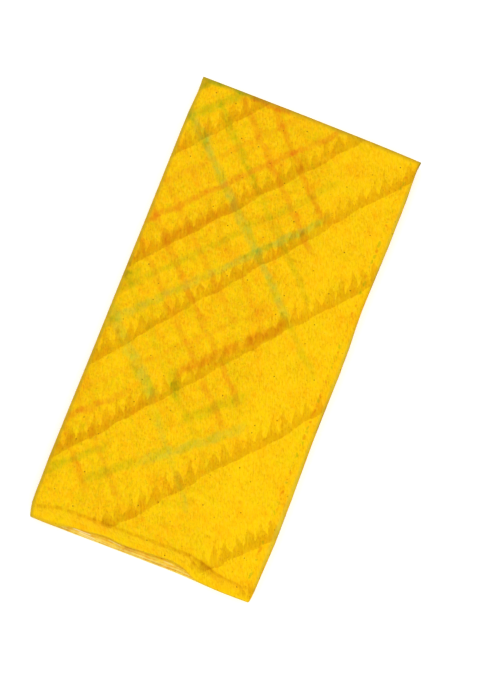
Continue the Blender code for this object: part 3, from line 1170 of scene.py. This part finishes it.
def silk_material(dye):
    """Makes the silk: a mottled yellow ground, toothed bands, a faint check, slubs, a weave, and
    painted shade and sheen at its edges and front.
    """
    material, shader = new_material("tussar_silk", SILK_FINISH)
    tree = material.node_tree
    cloth_map = new_node(tree, "ShaderNodeUVMap", uv_map=CLOTH_MAP)
    axes = new_node(tree, "ShaderNodeSeparateXYZ", {0: Value(cloth_map.outputs["UV"])})
    values = [Value(axes.outputs["X"]), Value(axes.outputs["Y"])]
    for name in (PAST_CREASE, BEHIND_NOSE):
        mark = new_node(tree, "ShaderNodeAttribute", attribute_type="GEOMETRY", attribute_name=name)
        values.append(Value(mark.outputs["Fac"]))
    colour_now, yarns, strokes = silk_colour(dye, *values)
    bump = new_node(tree, "ShaderNodeBump", {**WEAVE_BUMP, "Height": yarns})
    feed(shader.inputs["Base Color"], colour_now)
    feed(shader.inputs["Roughness"], strokes.fade("roughness"))
    feed(shader.inputs["Normal"], Value(bump.outputs["Normal"]))
    return material


def floor_material(stage):
    """Makes the floor's plain pale coat."""
    material, shader = new_material("pale_floor", FLOOR_FINISH)
    feed(shader.inputs["Base Color"], stage.floor)
    feed(shader.inputs["Emission Strength"], stage.floor_glow)
    return material


def make_floor(stage, collection):
    """Lays a flat floor under the pack."""
    form = bmesh.new()
    bmesh.ops.create_grid(form, x_segments=1, y_segments=1, size=stage.floor_size / 2)
    bmesh.ops.translate(form, vec=(0.0, 0.0, -FLOOR_DROP), verts=form.verts)
    mesh = bpy.data.meshes.new("studio_floor")
    form.to_mesh(mesh)
    form.free()
    mesh.materials.append(floor_material(stage))
    floor = bpy.data.objects.new("studio_floor", mesh)
    collection.objects.link(floor)


def make_sky(stage):
    """Sets an even white light all round."""
    world = bpy.data.worlds.new("studio_sky")
    world.use_nodes = True
    background = world.node_tree.nodes["Background"]
    feed(background.inputs["Color"], WHITE)
    feed(background.inputs["Strength"], stage.sky)
    bpy.context.scene.world = world


def make_lights(stage, collection):
    """Hangs a large soft light on each side, one behind the pack and one before it."""
    for name, spot in LIGHTS.items():
        lamp = bpy.data.lights.new(name, "AREA")
        lamp.shape = "DISK"
        lamp.size = LIGHT_SIZE
        lamp.energy = stage.key
        light = bpy.data.objects.new(name, lamp)
        light.location = spot
        light.rotation_mode = "QUATERNION"
        light.rotation_quaternion = (-Vector(spot)).to_track_quat("-Z", "Y")
        collection.objects.link(light)


def make_camera(stage, collection):
    """Sets the camera above the pack, tilted a little from straight down and turned."""
    look = Vector((0.0, math.sin(stage.tilt), -math.cos(stage.tilt)))
    level_right = Vector((1.0, 0.0, 0.0))
    level_up = level_right.cross(look)
    right = level_right * math.cos(stage.turn) + level_up * math.sin(stage.turn)
    up = level_up * math.cos(stage.turn) - level_right * math.sin(stage.turn)
    lens = bpy.data.cameras.new("studio_camera")
    lens.sensor_width = SENSOR_WIDTH
    lens.lens = stage.lens
    lens.clip_start = NEAREST_SEEN
    camera = bpy.data.objects.new("studio_camera", lens)
    axes = Matrix((right, up, -look)).transposed()
    camera.matrix_world = Matrix.Translation(Vector(CAMERA_AIM) - look * stage.distance) @ axes.to_4x4()
    collection.objects.link(camera)
    bpy.context.scene.camera = camera


def new_collection(name):
    """Adds a collection to the scene."""
    collection = bpy.data.collections.new(name)
    bpy.context.scene.collection.children.link(collection)
    return collection


class SAREE_OT_fold_silk(bpy.types.Operator):
    """Fold one long silk sheet into the flat pack"""

    bl_idname = "saree.fold_silk"
    bl_label = "Fold the silk"

    def execute(self, context):
        scene = context.scene
        sheet = make_sheet(scene.saree_sheet, new_collection("tussar_silk_saree"))
        if len(sheet.data.polygons) == 0:
            raise RuntimeError("the silk sheet has no faces")
        sheet.data.materials.append(silk_material(scene.saree_dye))
        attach(sheet, "root")
        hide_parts(CAD_NODE)
        return {"FINISHED"}


class SAREE_OT_set_stage(bpy.types.Operator):
    """Lay the floor and set the lights and the camera"""

    bl_idname = "saree.set_stage"
    bl_label = "Set the stage"

    def execute(self, context):
        stage = context.scene.saree_stage
        collection = new_collection("studio")
        make_floor(stage, collection)
        make_sky(stage)
        make_lights(stage, collection)
        make_camera(stage, collection)
        context.scene.view_settings.view_transform = "Standard"
        return {"FINISHED"}


class SAREE_PT_pack(bpy.types.Panel):
    """Lists the saree's settings and the steps that make it"""

    bl_label = "Folded Silk Saree"
    bl_space_type = "VIEW_3D"
    bl_region_type = "UI"
    bl_category = "Saree"

    def draw(self, context):
        layout = self.layout
        scene = context.scene
        groups = (
            ("saree.fold_silk", (scene.saree_sheet, scene.saree_dye)),
            ("saree.set_stage", (scene.saree_stage,)),
        )
        for operator, settings in groups:
            box = layout.box()
            for group in settings:
                for name in group.__annotations__:
                    box.prop(group, name)
            box.operator(operator)


CLASSES = (
    SareeSheetSettings,
    SareeDyeSettings,
    SareeStageSettings,
    SAREE_OT_fold_silk,
    SAREE_OT_set_stage,
    SAREE_PT_pack,
)


def register():
    for cls in CLASSES:
        bpy.utils.register_class(cls)
    bpy.types.Scene.saree_sheet = PointerProperty(type=SareeSheetSettings)
    bpy.types.Scene.saree_dye = PointerProperty(type=SareeDyeSettings)
    bpy.types.Scene.saree_stage = PointerProperty(type=SareeStageSettings)


def unregister():
    del bpy.types.Scene.saree_stage
    del bpy.types.Scene.saree_dye
    del bpy.types.Scene.saree_sheet
    for cls in reversed(CLASSES):
        bpy.utils.unregister_class(cls)


def main():
    register()
    bpy.ops.saree.fold_silk()
    bpy.ops.saree.set_stage()


if __name__ == "__main__":
    main()
